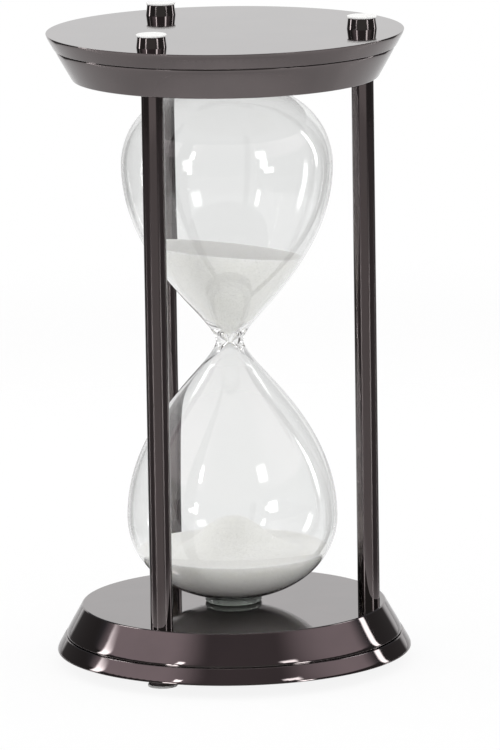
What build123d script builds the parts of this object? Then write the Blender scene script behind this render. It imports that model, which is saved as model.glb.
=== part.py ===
from build123d import *
import math
import os

# Hourglass: a blown glass held upright between two round end plates by three rods.
# Millimetres, +Z up. The origin is under the middle of the base, level with its pads.

# Glass, measured from the middle of its neck
bulb_radius = 45.0
belly_height = 76.2          # neck to the widest ring of a bulb
end_depth = 35.5             # widest ring to the closed end
neck_radius = 5.85
bulb_wall = 0.8
end_wall = 0.7
neck_sweep = 9.5             # heights of the flank's pulls, at the neck and at the widest ring
belly_sweep = 34.2
shoulder_sweep = 19.4        # reach of the end's pulls, at the widest ring and at the axis
end_sweep = 27.7
filling_hole_radius = 3.0

# Bore of the neck: a cone from the orifice to the throat, where the wall is thin, then the funnel
orifice_radius = 0.8
cone_radius = 3.5            # pull of the curve near the orifice
cone_depth = 3.3
throat_radius = 11.29
throat_height = 10.6
throat_lean = 8.76           # outward pull of the throat, over throat_rise
throat_rise = 10.28
throat_blend = 0.31          # share of that pull on the cone's side
funnel_sweep = 44.2          # height of the funnel's pull at the widest ring

# Plug in the filling hole
plug_lip = 1.5
plug_flange = 0.9
plug_grip = 1.6              # how far the stem reaches past the glass wall
plug_clearance = 0.05

# Soft rings that hold the two ends of the glass
end_gap = 1.9                # glass end to end plate
ring_wrap = 0.7              # how far a ring reaches up past the glass end
ring_radius = 12.2
ring_bore_radius = 6.5
ring_round = 1.25
ring_spigot_radius = 10.0
ring_spigot_height = 1.0
ring_spigot_clearance = 0.1
glass_clearance = 0.05       # running fit of the glass in its rings

# Rods
column_count = 3
column_radius = 4.75
column_gap = 8.25            # widest ring of the glass to a rod
column_edge_margin = 2.25    # rod to the edge of the plate's inner face
column_socket_depth = 2.0
column_socket_clearance = 0.05
column_chamfer = 0.4

# End plates: a flat cap on a dish that is hollow behind
flank_taper = 0.573          # radius gained per height, the same on cap and dish
lip_bend = 1.3               # height at which a flank starts to curve upright at its lip
lip_inset = 0.5              # how far the lip stays inside the straight flank
cap_thickness = 6.6
dish_thickness = 13.3
dish_floor = 5.0
dish_ring_wall = 5.0         # rod to the hollow
register_height = 2.0
register_clearance = 0.1
groove_height = 0.35         # shadow groove between cap and dish
groove_depth = 0.9
face_round = 0.7
lip_round = 0.2
seam_round = 0.45

# Screws that tie foot, plate and rod together
screw_radius = 2.0
screw_head_radius = 3.5
screw_head_height = 2.2
screw_socket_width = 2.5     # hexagon, across flats
screw_socket_depth = 1.2
screw_hole_clearance = 0.2
thread_engagement = 10.0
thread_runout = 2.0
thread_clearance = 0.05

# Feet and pads
foot_plate_radius = 6.4
foot_end_radius = 5.8
foot_height = 4.6
foot_web = 1.4               # metal under the screw head
foot_round = 0.3
head_clearance = 0.3
pad_radius = 6.3
pad_thickness = 1.0
pad_round = 0.35
pad_stem = 0.7
pad_stem_clearance = 0.05

# Sand
sand_clearance = 0.1
upper_sand_depth = 39.2      # neck to the surface, on the axis
upper_sand_tilt_right = 6.0  # degrees
upper_sand_tilt_back = 4.5
lower_sand_depth = 20.6      # inside bottom to the rim of the heap
heap_height = 14.1
heap_radius = 28.0
heap_crown_reach = 13.5      # the slope is a curve: its pulls at the crown and at the toe
heap_crown_drop = 0.8
heap_toe_reach = 13.0
heap_toe_rise = 0.4

# Heights of the base end, and the mirror plane in the middle of the neck
foot_bottom = pad_thickness
foot_top = foot_bottom + foot_height
cap_top = foot_top + cap_thickness
dish_top = cap_top + dish_thickness
glass_half_length = belly_height + end_depth
waist_height = dish_top + end_gap + glass_half_length
mirror_plane = Plane.XY.offset(waist_height)

# Radii of the frame, from the glass outwards
column_circle = bulb_radius + column_gap + column_radius
dish_face_radius = column_circle + column_radius + column_edge_margin
seam_radius = dish_face_radius + flank_taper * dish_thickness
cap_lip_radius = seam_radius + flank_taper * cap_thickness - lip_inset
dish_lip_radius = seam_radius - flank_taper * groove_height - lip_inset
hollow_radius = column_circle - column_radius - dish_ring_wall

# Heights along a screw
head_seat = foot_top - foot_web
column_bottom = dish_top - column_socket_depth
screw_top = column_bottom + thread_engagement
counterbore_radius = screw_head_radius + head_clearance

column_names = ["right", "back", "front"]
column_places = PolarLocations(column_circle, column_count)


def turned(*lines):
    """Solid of revolution about Z from a closed outline in the XZ half-plane."""
    return revolve(make_face(lines), Axis.Z)


def turned_outline(*points):
    """Solid of revolution from straight sides, each point a radius and a height."""
    return turned(Polyline(*[(radius, 0, height) for radius, height in points], close=True))


def drum(radius, bottom, top):
    """Upright cylinder between two heights."""
    return Pos(0, 0, bottom) * Cylinder(radius, top - bottom, align=(Align.CENTER, Align.CENTER, Align.MIN))


def rounded(solid, radius, size):
    """Solid with its circular edges of one radius rounded."""
    return fillet(solid.edges().filter_by(lambda edge: is_circle(edge, radius)), size)


def is_circle(edge, radius):
    return edge.geom_type == GeomType.CIRCLE and math.isclose(edge.radius, radius, abs_tol=1e-4)


def at_columns(solid):
    """One copy of a solid at each rod."""
    return [place * solid for place in column_places]


def to_top(solid):
    """Mirror image at the other end of the hourglass."""
    return mirror(solid, about=mirror_plane)


def curve(points, side):
    """Cubic wall line through heights measured from the neck, up or down."""
    return Bezier(*[(radius, 0, waist_height + side * height) for radius, height in points])


def end_curve(shrink, end_shrink, side):
    """Wall line from the widest ring to the closed end on the axis."""
    widest = bulb_radius - shrink
    end_height = glass_half_length - end_shrink
    shoulder_height = belly_height + shoulder_sweep
    return curve(
        [(widest, belly_height), (widest, shoulder_height), (end_sweep, end_height), (0, end_height)], side
    )


def closed_bulb(lines, waist_radius, end_shrink, side):
    """Solid bulb from its wall lines, cut off at the middle of the neck."""
    end_height = waist_height + side * (glass_half_length - end_shrink)
    axis_line = Line((0, 0, end_height), (0, 0, waist_height))
    neck_line = Line((0, 0, waist_height), (waist_radius, 0, waist_height))
    return turned(*lines, axis_line, neck_line)


def bulb(grow, side):
    """Outside of one bulb: upright at the neck and at the widest ring, so both bulbs run together."""
    widest = bulb_radius + grow
    heights = [0, neck_sweep, belly_sweep, belly_height]
    radii = [neck_radius + grow, neck_radius + grow, widest, widest]
    flank = curve(list(zip(radii, heights)), side)
    return closed_bulb([flank, end_curve(-grow, -grow, side)], neck_radius + grow, -grow, side)


def cavity(clearance, side):
    """Inside of one bulb, drawn in by a clearance: cone, throat, funnel and closed end."""
    widest = bulb_radius - bulb_wall - clearance
    throat = throat_radius - clearance
    orifice = orifice_radius - clearance
    cone = curve(
        [
            (orifice, 0),
            (cone_radius - clearance, cone_depth),
            (throat - throat_blend * throat_lean, throat_height - throat_blend * throat_rise),
            (throat, throat_height),
        ],
        side,
    )
    funnel = curve(
        [
            (throat, throat_height),
            (throat + throat_lean, throat_height + throat_rise),
            (widest, funnel_sweep),
            (widest, belly_height),
        ],
        side,
    )
    end_shrink = end_wall + clearance
    end = end_curve(bulb_wall + clearance, end_shrink, side)
    return closed_bulb([cone, funnel, end], orifice, end_shrink, side)


def make_bulb(side):
    """Blown bulb, open at the orifice, whose wall thickens towards the neck where the two bulbs are fused."""
    return bulb(0, side) - cavity(0, side)


def make_upper_bulb():
    """Upper bulb, with the hole through which the sand goes in."""
    end_height = waist_height + glass_half_length
    return make_bulb(1) - drum(filling_hole_radius, end_height - 2 * end_wall, end_height + end_wall)


def make_filling_plug():
    """Flanged plug, its flange moulded to the glass around the hole."""
    end_height = waist_height + glass_half_length
    stem = drum(filling_hole_radius - plug_clearance, end_height - end_wall - plug_grip, end_height)
    flange = drum(filling_hole_radius + plug_lip, end_height - end_wall / 2, end_height + plug_flange)
    return stem + (flange - bulb(0, 1))


def make_seat_ring():
    """Soft ring on the base plate, hollowed to the glass and located by a spigot."""
    ring_top = dish_top + end_gap + ring_wrap
    ring = rounded(drum(ring_radius, dish_top, ring_top), ring_radius, ring_round)
    ring += drum(ring_spigot_radius, dish_top - ring_spigot_height, dish_top)
    ring -= drum(ring_bore_radius, dish_top - ring_spigot_height, ring_top)
    return ring - bulb(glass_clearance, -1)


def plate_disc(face_radius, lip_radius, bottom, top):
    """Disc with a tapered flank that curves upright at its wide end."""
    straight = top - bottom - lip_bend
    flank = Bezier(
        (face_radius, 0, top),
        (face_radius + flank_taper * straight, 0, bottom + lip_bend),
        (lip_radius, 0, bottom + lip_inset / flank_taper),
        (lip_radius, 0, bottom),
    )
    rest = Polyline((lip_radius, 0, bottom), (0, 0, bottom), (0, 0, top), (face_radius, 0, top))
    return rounded(turned(flank, rest), lip_radius, lip_round)


def make_cap():
    """Outer disc of the base plate, with a register that centres it in the dish."""
    cap = plate_disc(seam_radius, cap_lip_radius, foot_top, cap_top)
    cap = rounded(cap, seam_radius, seam_round)
    cap += drum(hollow_radius - register_clearance, cap_top, cap_top + register_height)
    holes = at_columns(drum(screw_radius + screw_hole_clearance, foot_top, cap_top))
    return cap - holes


def make_dish():
    """Inner half of the base plate, hollow behind, with sockets for the rods and the soft ring."""
    groove_top = cap_top + groove_height
    dish = plate_disc(dish_face_radius, dish_lip_radius, groove_top, dish_top)
    dish = rounded(dish, dish_face_radius, face_round)
    dish += drum(dish_lip_radius - groove_depth, cap_top, groove_top)
    dish -= drum(hollow_radius, cap_top, dish_top - dish_floor)
    dish -= drum(ring_spigot_radius + ring_spigot_clearance, dish_top - ring_spigot_height, dish_top)
    dish -= at_columns(drum(screw_radius + screw_hole_clearance, cap_top, dish_top))
    return dish - at_columns(drum(column_radius + column_socket_clearance, column_bottom, dish_top))


def make_column():
    """Plain rod, tapped at both ends."""
    column_top = 2 * waist_height - column_bottom
    rod = drum(column_radius, column_bottom, column_top)
    rod = chamfer(rod.edges().filter_by(lambda edge: is_circle(edge, column_radius)), column_chamfer)
    tapped_hole = drum(screw_radius + thread_clearance, column_bottom, screw_top + thread_runout)
    return rod - tapped_hole - to_top(tapped_hole)


def make_screw():
    """Socket head screw, head down, from the foot into the rod."""
    screw = drum(screw_head_radius, head_seat - screw_head_height, head_seat)
    screw += drum(screw_radius, head_seat, screw_top)
    hexagon = RegularPolygon(screw_socket_width / 2, 6, major_radius=False)
    socket = extrude(hexagon, screw_socket_depth)
    return screw - Pos(0, 0, head_seat - screw_head_height) * socket


def make_foot():
    """Tapered foot, counterbored for the screw head."""
    foot = turned_outline(
        (0, foot_bottom), (foot_end_radius, foot_bottom), (foot_plate_radius, foot_top), (0, foot_top)
    )
    foot = rounded(foot, foot_end_radius, foot_round)
    foot -= drum(counterbore_radius, foot_bottom, head_seat)
    return foot - drum(screw_radius + screw_hole_clearance, head_seat, foot_top)


def make_pad():
    """White pad, pressed by its stem into the counterbore over the screw head."""
    pad = rounded(drum(pad_radius, 0, pad_thickness), pad_radius, pad_round)
    return pad + drum(counterbore_radius - pad_stem_clearance, pad_thickness, pad_thickness + pad_stem)


def make_upper_sand():
    """Sand still to run: it fills the funnel down to the orifice under a flat, tilted surface."""
    funnel = cavity(sand_clearance, 1)
    slope = (
        math.tan(math.radians(upper_sand_tilt_right)),
        math.tan(math.radians(upper_sand_tilt_back)),
        1,
    )
    surface = Plane(origin=(0, 0, waist_height + upper_sand_depth), z_dir=slope)
    return split(funnel, bisect_by=surface, keep=Keep.BOTTOM)


def make_lower_sand():
    """Sand that has run: a domed heap on a flat bed that reaches the glass."""
    inside = cavity(sand_clearance, -1)
    bottom = waist_height - glass_half_length + end_wall
    rim_height = bottom + lower_sand_depth
    peak = rim_height + heap_height
    slope = Bezier(
        (0, 0, peak),
        (heap_crown_reach, 0, peak - heap_crown_drop),
        (heap_radius - heap_toe_reach, 0, rim_height + heap_toe_rise),
        (heap_radius, 0, rim_height),
    )
    rest = Polyline(
        (heap_radius, 0, rim_height),
        (bulb_radius, 0, rim_height),
        (bulb_radius, 0, bottom),
        (0, 0, bottom),
        (0, 0, peak),
    )
    heap = turned(slope, rest)
    return heap & inside


def make_parts():
    """Every node by name, one solid each, but the screws of one end as a group."""
    parts = {
        "base_cap": make_cap(),
        "base_dish": make_dish(),
        "base_seat_ring": make_seat_ring(),
        "base_screws": Compound(children=at_columns(make_screw())),
    }
    for name, foot, pad in zip(column_names, at_columns(make_foot()), at_columns(make_pad())):
        parts[f"base_foot_{name}"] = foot
        parts[f"base_pad_{name}"] = pad
    parts.update({node.replace("base_", "top_"): to_top(solid) for node, solid in parts.items()})
    parts.update({f"column_{name}": rod for name, rod in zip(column_names, at_columns(make_column()))})
    parts["upper_bulb"] = make_upper_bulb()
    parts["lower_bulb"] = make_bulb(-1)
    parts["filling_plug"] = make_filling_plug()
    parts["upper_sand"] = make_upper_sand()
    parts["lower_sand"] = make_lower_sand()
    return parts


os.makedirs("parts", exist_ok=True)
for node_name, shape in make_parts().items():
    export_step(shape, f"parts/{node_name}.step")
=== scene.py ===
import bpy
import math
from mathutils import Matrix, Vector, noise


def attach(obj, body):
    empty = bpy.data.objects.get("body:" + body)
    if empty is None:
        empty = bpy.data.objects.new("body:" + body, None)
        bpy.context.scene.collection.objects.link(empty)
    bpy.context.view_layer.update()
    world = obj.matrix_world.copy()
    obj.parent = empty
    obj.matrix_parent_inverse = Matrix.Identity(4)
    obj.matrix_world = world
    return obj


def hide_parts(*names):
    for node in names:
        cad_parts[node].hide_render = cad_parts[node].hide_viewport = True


# Hourglass: looks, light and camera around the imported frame. Metres, +Z up.
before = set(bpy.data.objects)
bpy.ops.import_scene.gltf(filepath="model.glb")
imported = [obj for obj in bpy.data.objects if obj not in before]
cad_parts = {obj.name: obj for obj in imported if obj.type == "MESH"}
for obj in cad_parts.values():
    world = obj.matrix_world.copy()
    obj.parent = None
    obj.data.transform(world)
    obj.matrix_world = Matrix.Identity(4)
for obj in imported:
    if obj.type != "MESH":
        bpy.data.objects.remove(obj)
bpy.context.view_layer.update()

# Glass, measured from the middle of its neck
waist_height = 0.1391
bulb_radius = 0.0450
belly_height = 0.0762
end_depth = 0.0355
neck_radius = 0.00585
bulb_wall = 0.0008
end_wall = 0.0007
neck_sweep = 0.0095
belly_sweep = 0.0342
shoulder_sweep = 0.0194
end_sweep = 0.0277
filling_hole_radius = 0.0030
glass_half_length = belly_height + end_depth

# Bore of the neck: a cone from the orifice to the throat, then the funnel
orifice_radius = 0.0008
cone_radius = 0.0035
cone_depth = 0.0033
throat_radius = 0.01129
throat_height = 0.01060
throat_lean = 0.00876
throat_rise = 0.01028
throat_blend = 0.31
funnel_sweep = 0.0442

# Soft rings and plug
dish_top = 0.0255
ring_top = 0.0281
ring_radius = 0.0122
ring_bore_radius = 0.0065
ring_round = 0.00125
ring_spigot_radius = 0.0100
ring_spigot_height = 0.0010
glass_clearance = 0.00005
plug_lip = 0.0015
plug_flange = 0.0009
plug_grip = 0.0016
plug_round = 0.0003

# Feet and the pads on them
foot_end_radius = 0.0059
foot_plate_radius = 0.0064
foot_height = 0.0046
foot_web = 0.0014
foot_round = 0.0003
foot_step = 0.0001
counterbore_radius = 0.0038
screw_hole_radius = 0.0022
column_circle = 0.0580
column_names = ["right", "back", "front"]
pad_radius = 0.0063
pad_thickness = 0.0010
pad_round = 0.00035
pad_dish = 0.00002
pad_dish_half_reach = 0.5
pad_dish_reach = 0.8

# Sand
sand_gap = 0.0001
upper_sand_depth = 0.0392
upper_sand_tilt_right = math.radians(6.0)
upper_sand_tilt_back = math.radians(4.5)
lower_sand_depth = 0.0206
heap_height = 0.0141
heap_radius = 0.0280
heap_crown_reach = 0.0135
heap_crown_drop = 0.0008
heap_toe_reach = 0.0130
heap_toe_rise = 0.0004
grain_size = 0.00025
swell_height = 0.00035
swells_per_metre = 120
swell_slice = 0.3
grain_relief = 0.00012
grains_per_metre = 1900
grain_slice = 0.7
still_rings = 3

# Fineness of the meshes
glass_points = 48
ring_cup_points = 90
sand_wall_points = 150
heap_points = 120
rim_halvings = 40
smallest_radius = 1e-9
smallest_step = 1e-12
hole_margin = 1e-5

# Colours of the materials
dark_nickel = (0.141, 0.125, 0.125)
pale_nickel = (0.159, 0.139, 0.139)
glass_tint = (0.930, 0.934, 0.931)
glass_shade = (0.96, 0.96, 0.96)
dark_silicone = (0.72, 0.77, 0.73)
pale_silicone = (0.80, 0.84, 0.80)
silicone_shade = (0.75, 0.80, 0.76)
dark_rubber = (0.74, 0.74, 0.73)
pale_rubber = (0.88, 0.88, 0.87)
dark_zinc = (0.44, 0.45, 0.46)
pale_zinc = (0.56, 0.57, 0.58)
sand_scatter = (1.0, 1.0, 0.95)
grain_tints = [
    (0.0, (0.64, 0.64, 0.61)),
    (0.18, (0.80, 0.80, 0.77)),
    (0.9, (0.87, 0.87, 0.84)),
    (1.0, (0.93, 0.93, 0.91)),
]

# Reflections inside a clear piece after which light goes straight on
most_bounces = 2.5

# Floor: its look, and the distances from the middle over which it fades
floor_radius = 1.60
floor_grey = (0.80, 0.80, 0.80)
floor_roughness = 0.30
floor_fade = (0.45, 1.05)
floor_reflected_fade = (0.12, 0.26)
floor_shadow_share = 0.12

# Room seen in reflections: its colours
full_white = (1.0, 1.0, 1.0)
low_front = (0.60, 0.56, 0.56)
high_front = (0.20, 0.20, 0.19)
side_grey = (0.095, 0.090, 0.090)
panel_gap = (0.22, 0.19, 0.20)
panel_pink = (1.02, 0.88, 0.93)
back_ceiling = (0.13, 0.13, 0.14)
mid_ceiling = (0.52, 0.49, 0.50)
near_table = (0.70, 0.70, 0.70)
far_table = (0.93, 0.93, 0.93)
seen_through = (0.93, 0.93, 0.93)
seen_through_share = 0.8
fill_light = (1.08, 1.08, 1.08)

# The same room: where one colour goes over into the next, on a globe of radius 1 round the object
front_edge = (0.74, 0.87)
front_rise = (-0.10, -0.02)
backdrop_edge = (0.85, 0.91)
panel_edge = (0.45, 0.95)
panel_middle = 0.135
ceiling_edge = (-0.45, -0.20)
ceiling_rise = (0.72, 0.96)
wall_top = (0.29, 0.36)
wall_bottom = (-0.36, -0.30)
table_rise = (-0.90, -0.40)
least_flat = 0.001

# Lamps: azimuth and elevation in degrees, distance, width, height, brightness
lamp_edge = 0.28
lamps = {
    "lamp_front_left": (-42.5, 4.8, 1.6, 0.22, 0.19, 10.5),
    "lamp_front_right": (46, 4.8, 1.6, 0.28, 0.19, 10.0),
    "lamp_above_left": (-40, 27.3, 1.6, 0.12, 0.27, 10.0),
    "lamp_above_right": (40, 27.3, 1.6, 0.29, 0.27, 6.5),
    "lamp_side_left": (-101.5, 9.1, 1.4, 0.18, 0.48, 8.0),
    "lamp_side_right": (114, 15, 1.4, 0.115, 0.74, 7.0),
    "lamp_high_left": (-120, 43, 1.5, 0.20, 0.36, 9.0),
    "lamp_high_right": (122, 41, 1.5, 0.20, 0.36, 5.0),
}

# Camera: where the photograph was taken from
view_distance = 2.9594
view_elevation = 10.544
view_turn = math.radians(1.82)
view_roll = math.radians(-0.88)
view_height = 0.1306
aim_right = 0.00844
aim_up = -0.00659
lens_length = 332.8
sensor_width = 36
nearest_seen = 0.5
farthest_seen = 50


# Mesh helpers

def bezier(points, count):
    """Points along a cubic curve."""
    path = []
    for step in range(count + 1):
        t = step / count
        weights = ((1 - t) ** 3, 3 * t * (1 - t) ** 2, 3 * t * t * (1 - t), t ** 3)
        path.append(tuple(sum(w * p[axis] for w, p in zip(weights, points)) for axis in (0, 1)))
    return path


def arc(centre, radius, start, end, count):
    """Points on a circular arc, angles in degrees."""
    path = []
    for step in range(count + 1):
        angle = math.radians(start + (end - start) * step / count)
        path.append((centre[0] + radius * math.cos(angle), centre[1] + radius * math.sin(angle)))
    return path


def round_bottom(radius, height, rounding, count):
    """Rounded lower edge of a turned piece."""
    return arc((radius - rounding, height + rounding), rounding, -90, 0, count)


def round_top(radius, height, rounding, count):
    """Rounded upper edge of a turned piece."""
    return arc((radius - rounding, height - rounding), rounding, 0, 90, count)


def mesh_piece(name, vertices, faces):
    """Smooth-shaded object from a list of points and faces."""
    mesh = bpy.data.meshes.new(name)
    mesh.from_pydata(vertices, [], faces)
    mesh.validate()
    mesh.shade_smooth()
    piece = bpy.data.objects.new(name, mesh)
    bpy.context.scene.collection.objects.link(piece)
    return piece


def lathe(name, outline, segments, place=(0, 0, 0), closed=True):
    """Turned piece. The outline runs anticlockwise in the radius and height plane."""
    vertices = []
    rings = []
    for radius, height in outline:
        if radius < smallest_radius:
            rings.append([len(vertices)] * segments)
            vertices.append((place[0], place[1], place[2] + height))
            continue
        rings.append(list(range(len(vertices), len(vertices) + segments)))
        for step in range(segments):
            angle = 2 * math.pi * step / segments
            x = place[0] + radius * math.cos(angle)
            y = place[1] + radius * math.sin(angle)
            vertices.append((x, y, place[2] + height))
    faces = []
    pairs = list(zip(rings, rings[1:]))
    if closed:
        pairs.append((rings[-1], rings[0]))
    for low, high in pairs:
        for step in range(segments):
            following = (step + 1) % segments
            corners = [low[step], low[following], high[following], high[step]]
            face = list(dict.fromkeys(corners))
            if len(face) > 2:
                faces.append(face)
    return mesh_piece(name, vertices, faces)


def upside_down(outline):
    """The same outline at the other end of the hourglass."""
    return [(radius, 2 * waist_height - height) for radius, height in reversed(outline)]


def sharpen(piece, degrees):
    """Keeps real edges crisp on a smooth-shaded piece."""
    piece.data.set_sharp_from_angle(angle=math.radians(degrees))
    return piece


# Node helpers, for materials, lamps and the world

def new_material(name):
    """New node material: itself, its nodes, its links and its shader."""
    material = bpy.data.materials.new(name)
    material.use_nodes = True
    nodes = material.node_tree.nodes
    return material, nodes, material.node_tree.links, nodes["Principled BSDF"]


def feed(links, socket, value):
    """Sets a socket to a plain number or colour, or links it to another node."""
    if isinstance(value, tuple):
        socket.default_value = (*value, 1)
    elif isinstance(value, (int, float)):
        socket.default_value = value
    else:
        links.new(value, socket)


def calculate(nodes, links, operation, *values):
    """Result of a math node."""
    node = nodes.new("ShaderNodeMath")
    node.operation = operation
    for socket, value in zip(node.inputs, values):
        feed(links, socket, value)
    return node.outputs["Value"]


def smooth_step(nodes, links, value, low, high):
    """0 below one value, 1 above another, smooth between."""
    node = nodes.new("ShaderNodeMapRange")
    node.interpolation_type = "SMOOTHSTEP"
    node.inputs["From Min"].default_value = low
    node.inputs["From Max"].default_value = high
    links.new(value, node.inputs["Value"])
    return node.outputs["Result"]


def blend(nodes, links, share, first, second):
    """Colour between two others. A mix node's colours go in at 6 and 7 and come out at 2."""
    node = nodes.new("ShaderNodeMix")
    node.data_type = "RGBA"
    for socket, value in zip((node.inputs[0], node.inputs[6], node.inputs[7]), (share, first, second)):
        feed(links, socket, value)
    return node.outputs[2]


def mix_shaders(nodes, links, share, first, second):
    """Shader between two others."""
    node = nodes.new("ShaderNodeMixShader")
    feed(links, node.inputs["Fac"], share)
    links.new(first, node.inputs[1])
    links.new(second, node.inputs[2])
    return node.outputs["Shader"]


def noise_node(nodes, links, scale, detail, stretch=(1, 1, 1)):
    """Noise in the object's own metres."""
    place = nodes.new("ShaderNodeTexCoord")
    mapping = nodes.new("ShaderNodeMapping")
    mapping.inputs["Scale"].default_value = stretch
    texture = nodes.new("ShaderNodeTexNoise")
    texture.inputs["Scale"].default_value = scale
    texture.inputs["Detail"].default_value = detail
    links.new(place.outputs["Object"], mapping.inputs["Vector"])
    links.new(mapping.outputs["Vector"], texture.inputs["Vector"])
    return texture.outputs["Fac"]


def ramp(nodes, links, source, stops):
    """Colour ramp fed by a value."""
    node = nodes.new("ShaderNodeValToRGB")
    elements = node.color_ramp.elements
    while len(elements) < len(stops):
        elements.new(0.5)
    for element, (position, colour) in zip(elements, stops):
        element.position = position
        element.color = (*colour, 1)
    links.new(source, node.inputs["Fac"])
    return node.outputs["Color"]


def mottled(nodes, links, source, dark, pale, dark_below=0.3, pale_above=0.7):
    """Colour that goes from dark to pale with a noise."""
    return ramp(nodes, links, source, [(dark_below, dark), (pale_above, pale)])


def span(nodes, links, source, low, high):
    """A value from 0 to 1 brought between two limits."""
    node = nodes.new("ShaderNodeMapRange")
    node.inputs["To Min"].default_value = low
    node.inputs["To Max"].default_value = high
    links.new(source, node.inputs["Value"])
    return node.outputs["Result"]


def bump(nodes, links, source, shader, strength, distance):
    """Fine relief on a shader."""
    node = nodes.new("ShaderNodeBump")
    node.inputs["Strength"].default_value = strength
    node.inputs["Distance"].default_value = distance
    links.new(source, node.inputs["Height"])
    links.new(node.outputs["Normal"], shader.inputs["Normal"])


def let_lamps_through(nodes, links, shader, tint):
    """Lamps reach what is behind a clear material, and light caught inside it gets out again."""
    path = nodes.new("ShaderNodeLightPath")
    clear = nodes.new("ShaderNodeBsdfTransparent")
    clear.inputs["Color"].default_value = (*tint, 1)
    lit = calculate(nodes, links, "MAXIMUM", path.outputs["Is Shadow Ray"], path.outputs["Is Diffuse Ray"])
    caught = calculate(nodes, links, "GREATER_THAN", path.outputs["Glossy Depth"], most_bounces)
    straight = calculate(nodes, links, "MAXIMUM", lit, caught)
    mixed = mix_shaders(nodes, links, straight, shader.outputs["BSDF"], clear.outputs["BSDF"])
    links.new(mixed, nodes["Material Output"].inputs["Surface"])


# Materials

def black_nickel(name, roughness, stretch):
    """Polished dark plating: a slight cloud in the colour and in the polish."""
    material, nodes, links, shader = new_material(name)
    shader.inputs["Metallic"].default_value = 1.0
    cloud = noise_node(nodes, links, scale=45, detail=3, stretch=stretch)
    links.new(mottled(nodes, links, cloud, dark_nickel, pale_nickel), shader.inputs["Base Color"])
    polish = noise_node(nodes, links, scale=900, detail=4, stretch=stretch)
    links.new(span(nodes, links, polish, *roughness), shader.inputs["Roughness"])
    return material


def blown_glass():
    """Clear glass with the faint waves of a blown wall."""
    material, nodes, links, shader = new_material("blown_glass")
    shader.inputs["Base Color"].default_value = (*glass_tint, 1)
    shader.inputs["Roughness"].default_value = 0.0
    shader.inputs["IOR"].default_value = 1.47
    shader.inputs["Transmission Weight"].default_value = 1.0
    waves = noise_node(nodes, links, scale=55, detail=1, stretch=(1, 1, 0.45))
    bump(nodes, links, waves, shader, strength=0.10, distance=0.0004)
    let_lamps_through(nodes, links, shader, glass_shade)
    return material


def soft_silicone():
    """Soft translucent moulding with a satin skin."""
    material, nodes, links, shader = new_material("soft_silicone")
    shader.inputs["IOR"].default_value = 1.41
    shader.inputs["Transmission Weight"].default_value = 0.80
    cloud = noise_node(nodes, links, scale=260, detail=2)
    links.new(mottled(nodes, links, cloud, dark_silicone, pale_silicone), shader.inputs["Base Color"])
    links.new(span(nodes, links, cloud, low=0.10, high=0.20), shader.inputs["Roughness"])
    let_lamps_through(nodes, links, shader, silicone_shade)
    return material


def white_rubber():
    """Matt white pad with fine pores."""
    material, nodes, links, shader = new_material("white_rubber")
    pores = noise_node(nodes, links, scale=2600, detail=3)
    tint = mottled(nodes, links, pores, dark_rubber, pale_rubber, pale_above=0.62)
    links.new(tint, shader.inputs["Base Color"])
    shader.inputs["Roughness"].default_value = 0.75
    bump(nodes, links, pores, shader, strength=0.5, distance=0.00012)
    return material


def quartz_sand():
    """Fine white quartz sand: single grains in colour and relief."""
    material, nodes, links, shader = new_material("quartz_sand")
    place = nodes.new("ShaderNodeTexCoord")
    cells = nodes.new("ShaderNodeTexVoronoi")
    cells.inputs["Scale"].default_value = 1 / grain_size
    links.new(place.outputs["Object"], cells.inputs["Vector"])
    separate = nodes.new("ShaderNodeSeparateColor")
    links.new(cells.outputs["Color"], separate.inputs["Color"])
    links.new(ramp(nodes, links, separate.outputs["Red"], grain_tints), shader.inputs["Base Color"])
    dullness = span(nodes, links, separate.outputs["Green"], low=0.65, high=0.95)
    links.new(dullness, shader.inputs["Roughness"])
    shader.inputs["Specular IOR Level"].default_value = 0.35
    shader.inputs["Subsurface Weight"].default_value = 0.85
    shader.inputs["Subsurface Radius"].default_value = sand_scatter
    shader.inputs["Subsurface Scale"].default_value = 0.004
    bump(nodes, links, cells.outputs["Distance"], shader, strength=0.5, distance=0.0002)
    return material


def zinc_steel():
    """Zinc plated screws."""
    material, nodes, links, shader = new_material("zinc_steel")
    shader.inputs["Metallic"].default_value = 1.0
    cloud = noise_node(nodes, links, scale=700, detail=4)
    links.new(mottled(nodes, links, cloud, dark_zinc, pale_zinc), shader.inputs["Base Color"])
    links.new(span(nodes, links, cloud, low=0.22, high=0.36), shader.inputs["Roughness"])
    return material


# Glass

def end_line(shrink, end_shrink, count):
    """Wall line from the widest ring to the closed end, heights from the neck."""
    widest = bulb_radius - shrink
    end_height = glass_half_length - end_shrink
    shoulder = belly_height + shoulder_sweep
    line = [(widest, belly_height), (widest, shoulder), (end_sweep, end_height), (0, end_height)]
    return bezier(line, count)


def outside_line(count):
    """Outside of one bulb from the neck to the closed end."""
    flank = [(neck_radius, 0), (neck_radius, neck_sweep), (bulb_radius, belly_sweep)]
    flank += [(bulb_radius, belly_height)]
    return bezier(flank, count) + end_line(0, 0, count)[1:]


def inside_line(clearance, count):
    """Inside of one bulb: cone from the orifice, throat, funnel and closed end."""
    widest = bulb_radius - bulb_wall - clearance
    throat = throat_radius - clearance
    cone = [
        (orifice_radius - clearance, 0),
        (cone_radius - clearance, cone_depth),
        (throat - throat_blend * throat_lean, throat_height - throat_blend * throat_rise),
        (throat, throat_height),
    ]
    funnel = [
        (throat, throat_height),
        (throat + throat_lean, throat_height + throat_rise),
        (widest, funnel_sweep),
        (widest, belly_height),
    ]
    end = end_line(bulb_wall + clearance, end_wall + clearance, count)
    return bezier(cone, count // 3) + bezier(funnel, count)[1:] + end[1:]


def placed(line, side):
    """A wall line at its height; side 1 is the upper bulb, -1 the lower."""
    return [(radius, waist_height + side * height) for radius, height in line]


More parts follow.
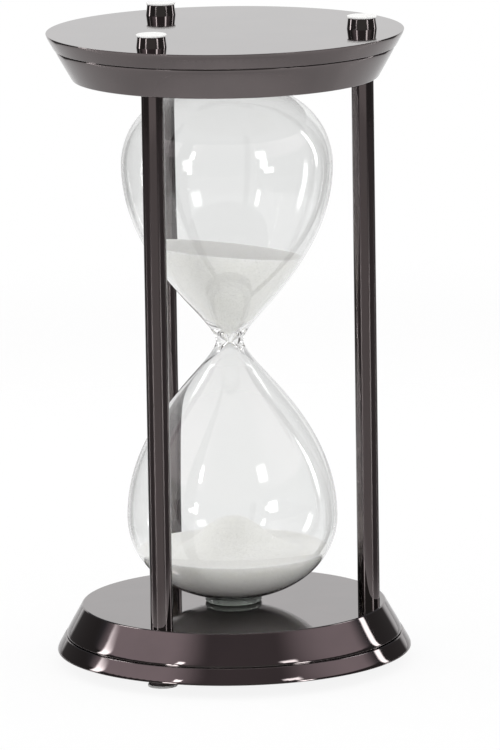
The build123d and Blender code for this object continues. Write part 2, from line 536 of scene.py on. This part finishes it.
def cut_at_hole(line):
    """The part of an upper wall line outside the filling hole, ending on the hole's edge."""
    kept = [point for point in line if point[0] > filling_hole_radius + hole_margin]
    return kept + [(filling_hole_radius, line[-1][1])]


def make_glass():
    """Both bulbs in one wall, fused at the thick neck, open at the filling hole."""
    outside = outside_line(glass_points)
    inside = inside_line(0, glass_points)
    outline = placed(outside, -1)[::-1] + cut_at_hole(placed(outside, 1)[1:])
    outline += cut_at_hole(placed(inside, 1)[1:])[::-1] + placed(inside, -1)
    return sharpen(lathe("glass_wall", outline, segments=200, closed=False), degrees=50)


def make_plug():
    """Flanged plug in the filling hole."""
    end_height = waist_height + glass_half_length
    stem = filling_hole_radius - glass_clearance
    low = end_height - end_wall - plug_grip
    lip = stem + plug_lip
    outline = [(0, low)]
    outline += round_bottom(stem, low, plug_round, count=4)
    outline += [(stem, end_height + glass_clearance), (lip, end_height + glass_clearance)]
    outline += round_top(lip, end_height + plug_flange, plug_round, count=4)
    outline += [(0, end_height + plug_flange)]
    return sharpen(lathe("plug_soft", outline, segments=48, closed=False), degrees=40)


# Soft rings

def make_seat_ring(name, side):
    """Ring that cups one end of the glass; side -1 is the base."""
    end = placed(end_line(-glass_clearance, -glass_clearance, ring_cup_points), -1)
    cup = [point for point in end if ring_bore_radius < point[0] < ring_radius - ring_round]
    cup = [point for point in cup if point[1] < ring_top]
    spigot_bottom = dish_top - ring_spigot_height
    outline = [(ring_bore_radius, spigot_bottom), (ring_spigot_radius, spigot_bottom)]
    outline += [(ring_spigot_radius, dish_top)]
    outline += round_bottom(ring_radius, dish_top, ring_round, count=10)
    outline += round_top(ring_radius, ring_top, ring_round, count=10)
    outline += cup
    if side > 0:
        outline = upside_down(outline)
    return sharpen(lathe(name, outline, segments=120), degrees=35)


# Feet and pads

def at_column(angle):
    """Place of a column on the floor plan."""
    return column_circle * math.cos(angle), column_circle * math.sin(angle), 0


def make_foot(name, angle, side):
    """Tapered foot, counterbored for its screw."""
    top = pad_thickness + foot_height
    seat = top - foot_web
    slope = (foot_plate_radius - foot_end_radius) / (foot_height - foot_round)
    taper = math.degrees(math.atan(slope))
    outline = [(counterbore_radius, pad_thickness)]
    outline += arc((foot_end_radius - foot_round, pad_thickness + foot_round), foot_round, -90, -taper, 6)
    outline += [(foot_end_radius + foot_step * slope, pad_thickness + foot_round + foot_step)]
    outline += [(foot_plate_radius, top), (screw_hole_radius, top)]
    outline += [(screw_hole_radius, seat), (counterbore_radius, seat)]
    if side > 0:
        outline = upside_down(outline)
    return sharpen(lathe(name, outline, segments=96, place=at_column(angle)), degrees=40)


def make_pad(name, angle, side):
    """Pad with a soft edge and a slightly dished face."""
    outline = [(0, pad_dish), (pad_radius * pad_dish_half_reach, pad_dish / 2)]
    outline += [(pad_radius * pad_dish_reach, 0)]
    outline += round_bottom(pad_radius, 0, pad_round, count=6)
    outline += round_top(pad_radius, pad_thickness, pad_round, count=6)
    outline += [(0, pad_thickness)]
    if side > 0:
        outline = upside_down(outline)
    return lathe(name, outline, segments=64, place=at_column(angle), closed=False)


# Sand

def line_value(table, place, key, value):
    """One column of a table of pairs, at a place in its other column."""
    for low, high in zip(table, table[1:]):
        if low[key] <= place <= high[key]:
            share = (place - low[key]) / max(high[key] - low[key], smallest_step)
            return low[value] + share * (high[value] - low[value])
    return table[0][value] if place < table[0][key] else table[-1][value]


def rim_height(table, angle, surface):
    """Height at which the sand's surface meets the glass, by halving."""
    low, high = table[0][1], table[-1][1]
    for halving in range(rim_halvings):
        middle = (low + high) / 2
        radius = line_value(table, middle, 1, 0)
        if surface(radius * math.cos(angle), radius * math.sin(angle)) > middle:
            low = middle
        else:
            high = middle
    return low


def ripple(x, y):
    """Unevenness of poured sand: slow swells and single grains."""
    swell = noise.noise(Vector((x, y, swell_slice)) * swells_per_metre) * swell_height
    return swell + noise.noise(Vector((x, y, grain_slice)) * grains_per_metre) * grain_relief


def heap_of_sand(name, table, foot, surface, segments, rings, wall_steps):
    """Closed sand body: a surface of heights, and sides that follow the glass down to its foot."""
    angles = [2 * math.pi * step / segments for step in range(segments)]
    rims = [rim_height(table, angle, surface) for angle in angles]
    vertices = [(0, 0, surface(0, 0) + ripple(0, 0))]
    for ring in range(1, rings + 1):
        fade = min(1.0, (rings - ring) / still_rings)
        for angle, rim in zip(angles, rims):
            reach = line_value(table, rim, 1, 0) * ring / rings
            x, y = reach * math.cos(angle), reach * math.sin(angle)
            vertices.append((x, y, surface(x, y) + fade * ripple(x, y)))
    for down in range(1, wall_steps + 1):
        for angle, rim in zip(angles, rims):
            height = rim + (foot - rim) * down / wall_steps
            reach = line_value(table, height, 1, 0)
            vertices.append((reach * math.cos(angle), reach * math.sin(angle), height))
    vertices.append((0, 0, foot))
    faces = []
    layers = rings + wall_steps
    last = 1 + (layers - 1) * segments
    for step in range(segments):
        following = (step + 1) % segments
        faces.append((0, 1 + step, 1 + following))
        for layer in range(layers - 1):
            near, far = 1 + layer * segments, 1 + (layer + 1) * segments
            faces.append((near + step, far + step, far + following, near + following))
        faces.append((last + step, len(vertices) - 1, last + following))
    return mesh_piece(name, vertices, faces)


def make_upper_sand():
    """Sand still to run, under a flat surface that tips to the right and back."""
    table = placed(inside_line(sand_gap, sand_wall_points), 1)
    middle = waist_height + upper_sand_depth
    fall_right = math.tan(upper_sand_tilt_right)
    fall_back = math.tan(upper_sand_tilt_back)

    def surface(x, y):
        return middle - x * fall_right - y * fall_back

    return heap_of_sand(
        "upper_sand_grains", table, waist_height, surface, segments=220, rings=60, wall_steps=60
    )


def make_lower_sand():
    """Sand that has run: a domed heap on a flat bed that reaches the glass."""
    table = placed(inside_line(sand_gap, sand_wall_points), -1)[::-1]
    bottom = waist_height - glass_half_length + end_wall
    rim = bottom + lower_sand_depth
    peak = rim + heap_height
    crown = (heap_crown_reach, peak - heap_crown_drop)
    toe = (heap_radius - heap_toe_reach, rim + heap_toe_rise)
    slope = bezier([(0, peak), crown, toe, (heap_radius, rim)], heap_points) + [(bulb_radius, rim)]

    def surface(x, y):
        return line_value(slope, math.hypot(x, y), 0, 1)

    return heap_of_sand(
        "lower_sand_grains", table, bottom + sand_gap, surface, segments=260, rings=72, wall_steps=40
    )


# Put the pieces on the frame

def add(piece, body, slot, material, *nodes):
    """A piece that rides on a body and stands for CAD nodes."""
    piece.data.materials.clear()
    piece.data.materials.append(material)
    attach(piece, body)
    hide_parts(*nodes)


plate_finish = black_nickel("plate_black_nickel", roughness=(0.03, 0.06), stretch=(1, 1, 1))
rod_finish = black_nickel("rod_black_nickel", roughness=(0.04, 0.07), stretch=(1, 1, 0.05))
foot_finish = black_nickel("foot_black_nickel", roughness=(0.05, 0.09), stretch=(1, 1, 1))
glass_finish = blown_glass()
silicone_finish = soft_silicone()
pad_finish = white_rubber()
sand_finish = quartz_sand()
screw_finish = zinc_steel()

for node_name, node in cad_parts.items():
    finish = None
    if node_name.endswith(("cap", "dish")):
        finish = plate_finish
    elif node_name.startswith("column"):
        finish = rod_finish
    elif node_name.endswith("screws"):
        finish = screw_finish
    if finish:
        for material_slot in node.material_slots:
            material_slot.material = finish

add(make_glass(), "glass", "clear_glass", glass_finish, "upper_bulb", "lower_bulb")
add(make_plug(), "glass", "clear_silicone", silicone_finish, "filling_plug")
add(make_upper_sand(), "glass", "white_sand", sand_finish, "upper_sand")
add(make_lower_sand(), "glass", "white_sand", sand_finish, "lower_sand")
for end_name, end_side in (("base", -1), ("top", 1)):
    ring_node = f"{end_name}_seat_ring"
    add(make_seat_ring(ring_node + "_soft", end_side), "frame", "clear_silicone", silicone_finish, ring_node)
    for index, column_name in enumerate(column_names):
        column_angle = 2 * math.pi * index / len(column_names)
        foot_node = f"{end_name}_foot_{column_name}"
        foot = make_foot(foot_node + "_turned", column_angle, end_side)
        add(foot, "frame", "rod_metal", foot_finish, foot_node)
        pad_node = f"{end_name}_pad_{column_name}"
        pad = make_pad(pad_node + "_soft", column_angle, end_side)
        add(pad, "frame", "white_pad", pad_finish, pad_node)


# Studio: pale floor, soft lamps, white background

def make_floor():
    """Pale table top: white to the camera but for the object's shadow, and gone at its edge."""
    floor = lathe("floor", [(floor_radius, 0), (0, 0)], segments=96, closed=False)
    material, nodes, links, shader = new_material("pale_floor")
    nodes.remove(shader)
    pale = nodes.new("ShaderNodeBsdfDiffuse")
    pale.inputs["Color"].default_value = (*floor_grey, 1)
    gloss = nodes.new("ShaderNodeBsdfGlossy")
    gloss.inputs["Roughness"].default_value = floor_roughness
    white = nodes.new("ShaderNodeEmission")
    clear = nodes.new("ShaderNodeBsdfTransparent")
    skin = nodes.new("ShaderNodeFresnel")
    path = nodes.new("ShaderNodeLightPath")
    place = nodes.new("ShaderNodeTexCoord")
    reach = nodes.new("ShaderNodeVectorMath")
    reach.operation = "LENGTH"
    links.new(place.outputs["Object"], reach.inputs[0])

    def mix(share, first, second):
        return mix_shaders(nodes, links, share, first, second)

    def faded(surface, limits):
        fade = smooth_step(nodes, links, reach.outputs["Value"], *limits)
        return mix(fade, surface, clear.outputs["BSDF"])

    shaded = mix(1 - floor_shadow_share, pale.outputs["BSDF"], white.outputs["Emission"])
    looked_at = faded(shaded, floor_fade)
    reflected = mix(
        skin.outputs["Fac"], faded(pale.outputs["BSDF"], floor_reflected_fade), gloss.outputs["BSDF"]
    )
    seen = calculate(
        nodes, links, "MAXIMUM", path.outputs["Is Camera Ray"], path.outputs["Is Transmission Ray"]
    )
    links.new(mix(seen, reflected, looked_at), nodes["Material Output"].inputs["Surface"])
    floor.data.materials.append(material)


def direction(azimuth, elevation):
    """Unit vector from the object; azimuth 0 is towards the camera, positive to its right."""
    turn = math.radians(azimuth) + view_turn
    rise = math.radians(elevation)
    return Vector((math.sin(turn) * math.cos(rise), -math.cos(turn) * math.cos(rise), math.sin(rise)))


def softbox(name, azimuth, elevation, distance, width, height, brightness):
    """Lamp facing the middle of the object, half as bright at its width and height as in its middle."""
    lamp = bpy.data.lights.new(name, "AREA")
    lamp.shape = "RECTANGLE"
    lamp.size = width / (1 - lamp_edge)
    lamp.size_y = height / (1 - lamp_edge)
    lamp.energy = brightness * math.pi * lamp.size * lamp.size_y
    lamp.use_nodes = True
    nodes = lamp.node_tree.nodes
    links = lamp.node_tree.links
    place = nodes.new("ShaderNodeNewGeometry")
    axes = nodes.new("ShaderNodeSeparateXYZ")
    links.new(place.outputs["Parametric"], axes.inputs["Vector"])
    fades = []
    for axis in (axes.outputs["X"], axes.outputs["Y"]):
        aside = calculate(nodes, links, "ABSOLUTE", calculate(nodes, links, "SUBTRACT", axis, 0.5))
        fades.append(smooth_step(nodes, links, calculate(nodes, links, "SUBTRACT", 0.5, aside), 0, lamp_edge))
    links.new(calculate(nodes, links, "MULTIPLY", *fades), nodes["Emission"].inputs["Strength"])
    lamp_object = bpy.data.objects.new(name, lamp)
    bpy.context.scene.collection.objects.link(lamp_object)
    aim = direction(azimuth, elevation)
    lamp_object.location = Vector((0, 0, waist_height)) + aim * distance
    lamp_object.rotation_euler = aim.to_track_quat("Z", "Y").to_euler()
    lamp_object.visible_camera = False


def make_world():
    """White to the camera. In reflections a room: white table and backdrop, grey sides, pale panels above."""
    world = bpy.data.worlds.new("studio")
    bpy.context.scene.world = world
    world.use_nodes = True
    nodes = world.node_tree.nodes
    links = world.node_tree.links

    def step(value, limits):
        return smooth_step(nodes, links, value, *limits)

    def between(share, first, second):
        return blend(nodes, links, share, first, second)

    place = nodes.new("ShaderNodeTexCoord")
    axes = nodes.new("ShaderNodeSeparateXYZ")
    links.new(place.outputs["Generated"], axes.inputs["Vector"])
    x, y, z = axes.outputs
    squares = [calculate(nodes, links, "MULTIPLY", axis, axis) for axis in (x, y)]
    flat = calculate(nodes, links, "SQRT", calculate(nodes, links, "ADD", *squares))
    flat = calculate(nodes, links, "MAXIMUM", flat, least_flat)
    behind = calculate(nodes, links, "DIVIDE", y, flat)
    in_front = calculate(nodes, links, "MULTIPLY", behind, -1.0)
    across = calculate(nodes, links, "SUBTRACT", calculate(nodes, links, "DIVIDE", x, flat), panel_middle)
    aside = calculate(nodes, links, "ABSOLUTE", across)

    front = between(step(z, front_rise), low_front, high_front)
    sides = between(step(in_front, front_edge), side_grey, front)
    sides = between(step(behind, backdrop_edge), sides, full_white)
    panels = between(step(aside, panel_edge), panel_gap, panel_pink)
    above = between(step(in_front, ceiling_edge), back_ceiling, panels)
    above = between(step(z, ceiling_rise), above, mid_ceiling)
    table = between(step(z, table_rise), near_table, far_table)
    room = between(step(z, wall_top), sides, above)
    room = between(step(z, wall_bottom), table, room)

    path = nodes.new("ShaderNodeLightPath")
    veiled = between(seen_through_share, room, seen_through)
    through = between(path.outputs["Is Transmission Ray"], room, veiled)
    bounced = calculate(nodes, links, "GREATER_THAN", path.outputs["Diffuse Depth"], 0.5)
    lit = between(bounced, through, fill_light)
    links.new(between(path.outputs["Is Camera Ray"], lit, full_white), nodes["Background"].inputs["Color"])


make_floor()
make_world()
for lamp_name, lamp_values in lamps.items():
    softbox(lamp_name, *lamp_values)

# Camera

camera_data = bpy.data.cameras.new("camera")
camera_data.lens = lens_length
camera_data.sensor_width = sensor_width
camera_data.clip_start = nearest_seen
camera_data.clip_end = farthest_seen
camera = bpy.data.objects.new("camera", camera_data)
bpy.context.scene.collection.objects.link(camera)
target = Vector((0, 0, view_height))
backwards = direction(0, view_elevation)
level = Vector((math.cos(view_turn), math.sin(view_turn), 0))
upwards = backwards.cross(level)
aim_point = target + level * aim_right + upwards * aim_up
camera.location = target + backwards * view_distance
look = (aim_point - camera.location).to_track_quat("-Z", "Y").to_matrix().to_4x4()
camera.matrix_world = Matrix.Translation(camera.location) @ look @ Matrix.Rotation(view_roll, 4, "Z")
bpy.context.scene.camera = camera
bpy.context.scene.view_settings.view_transform = "Standard"
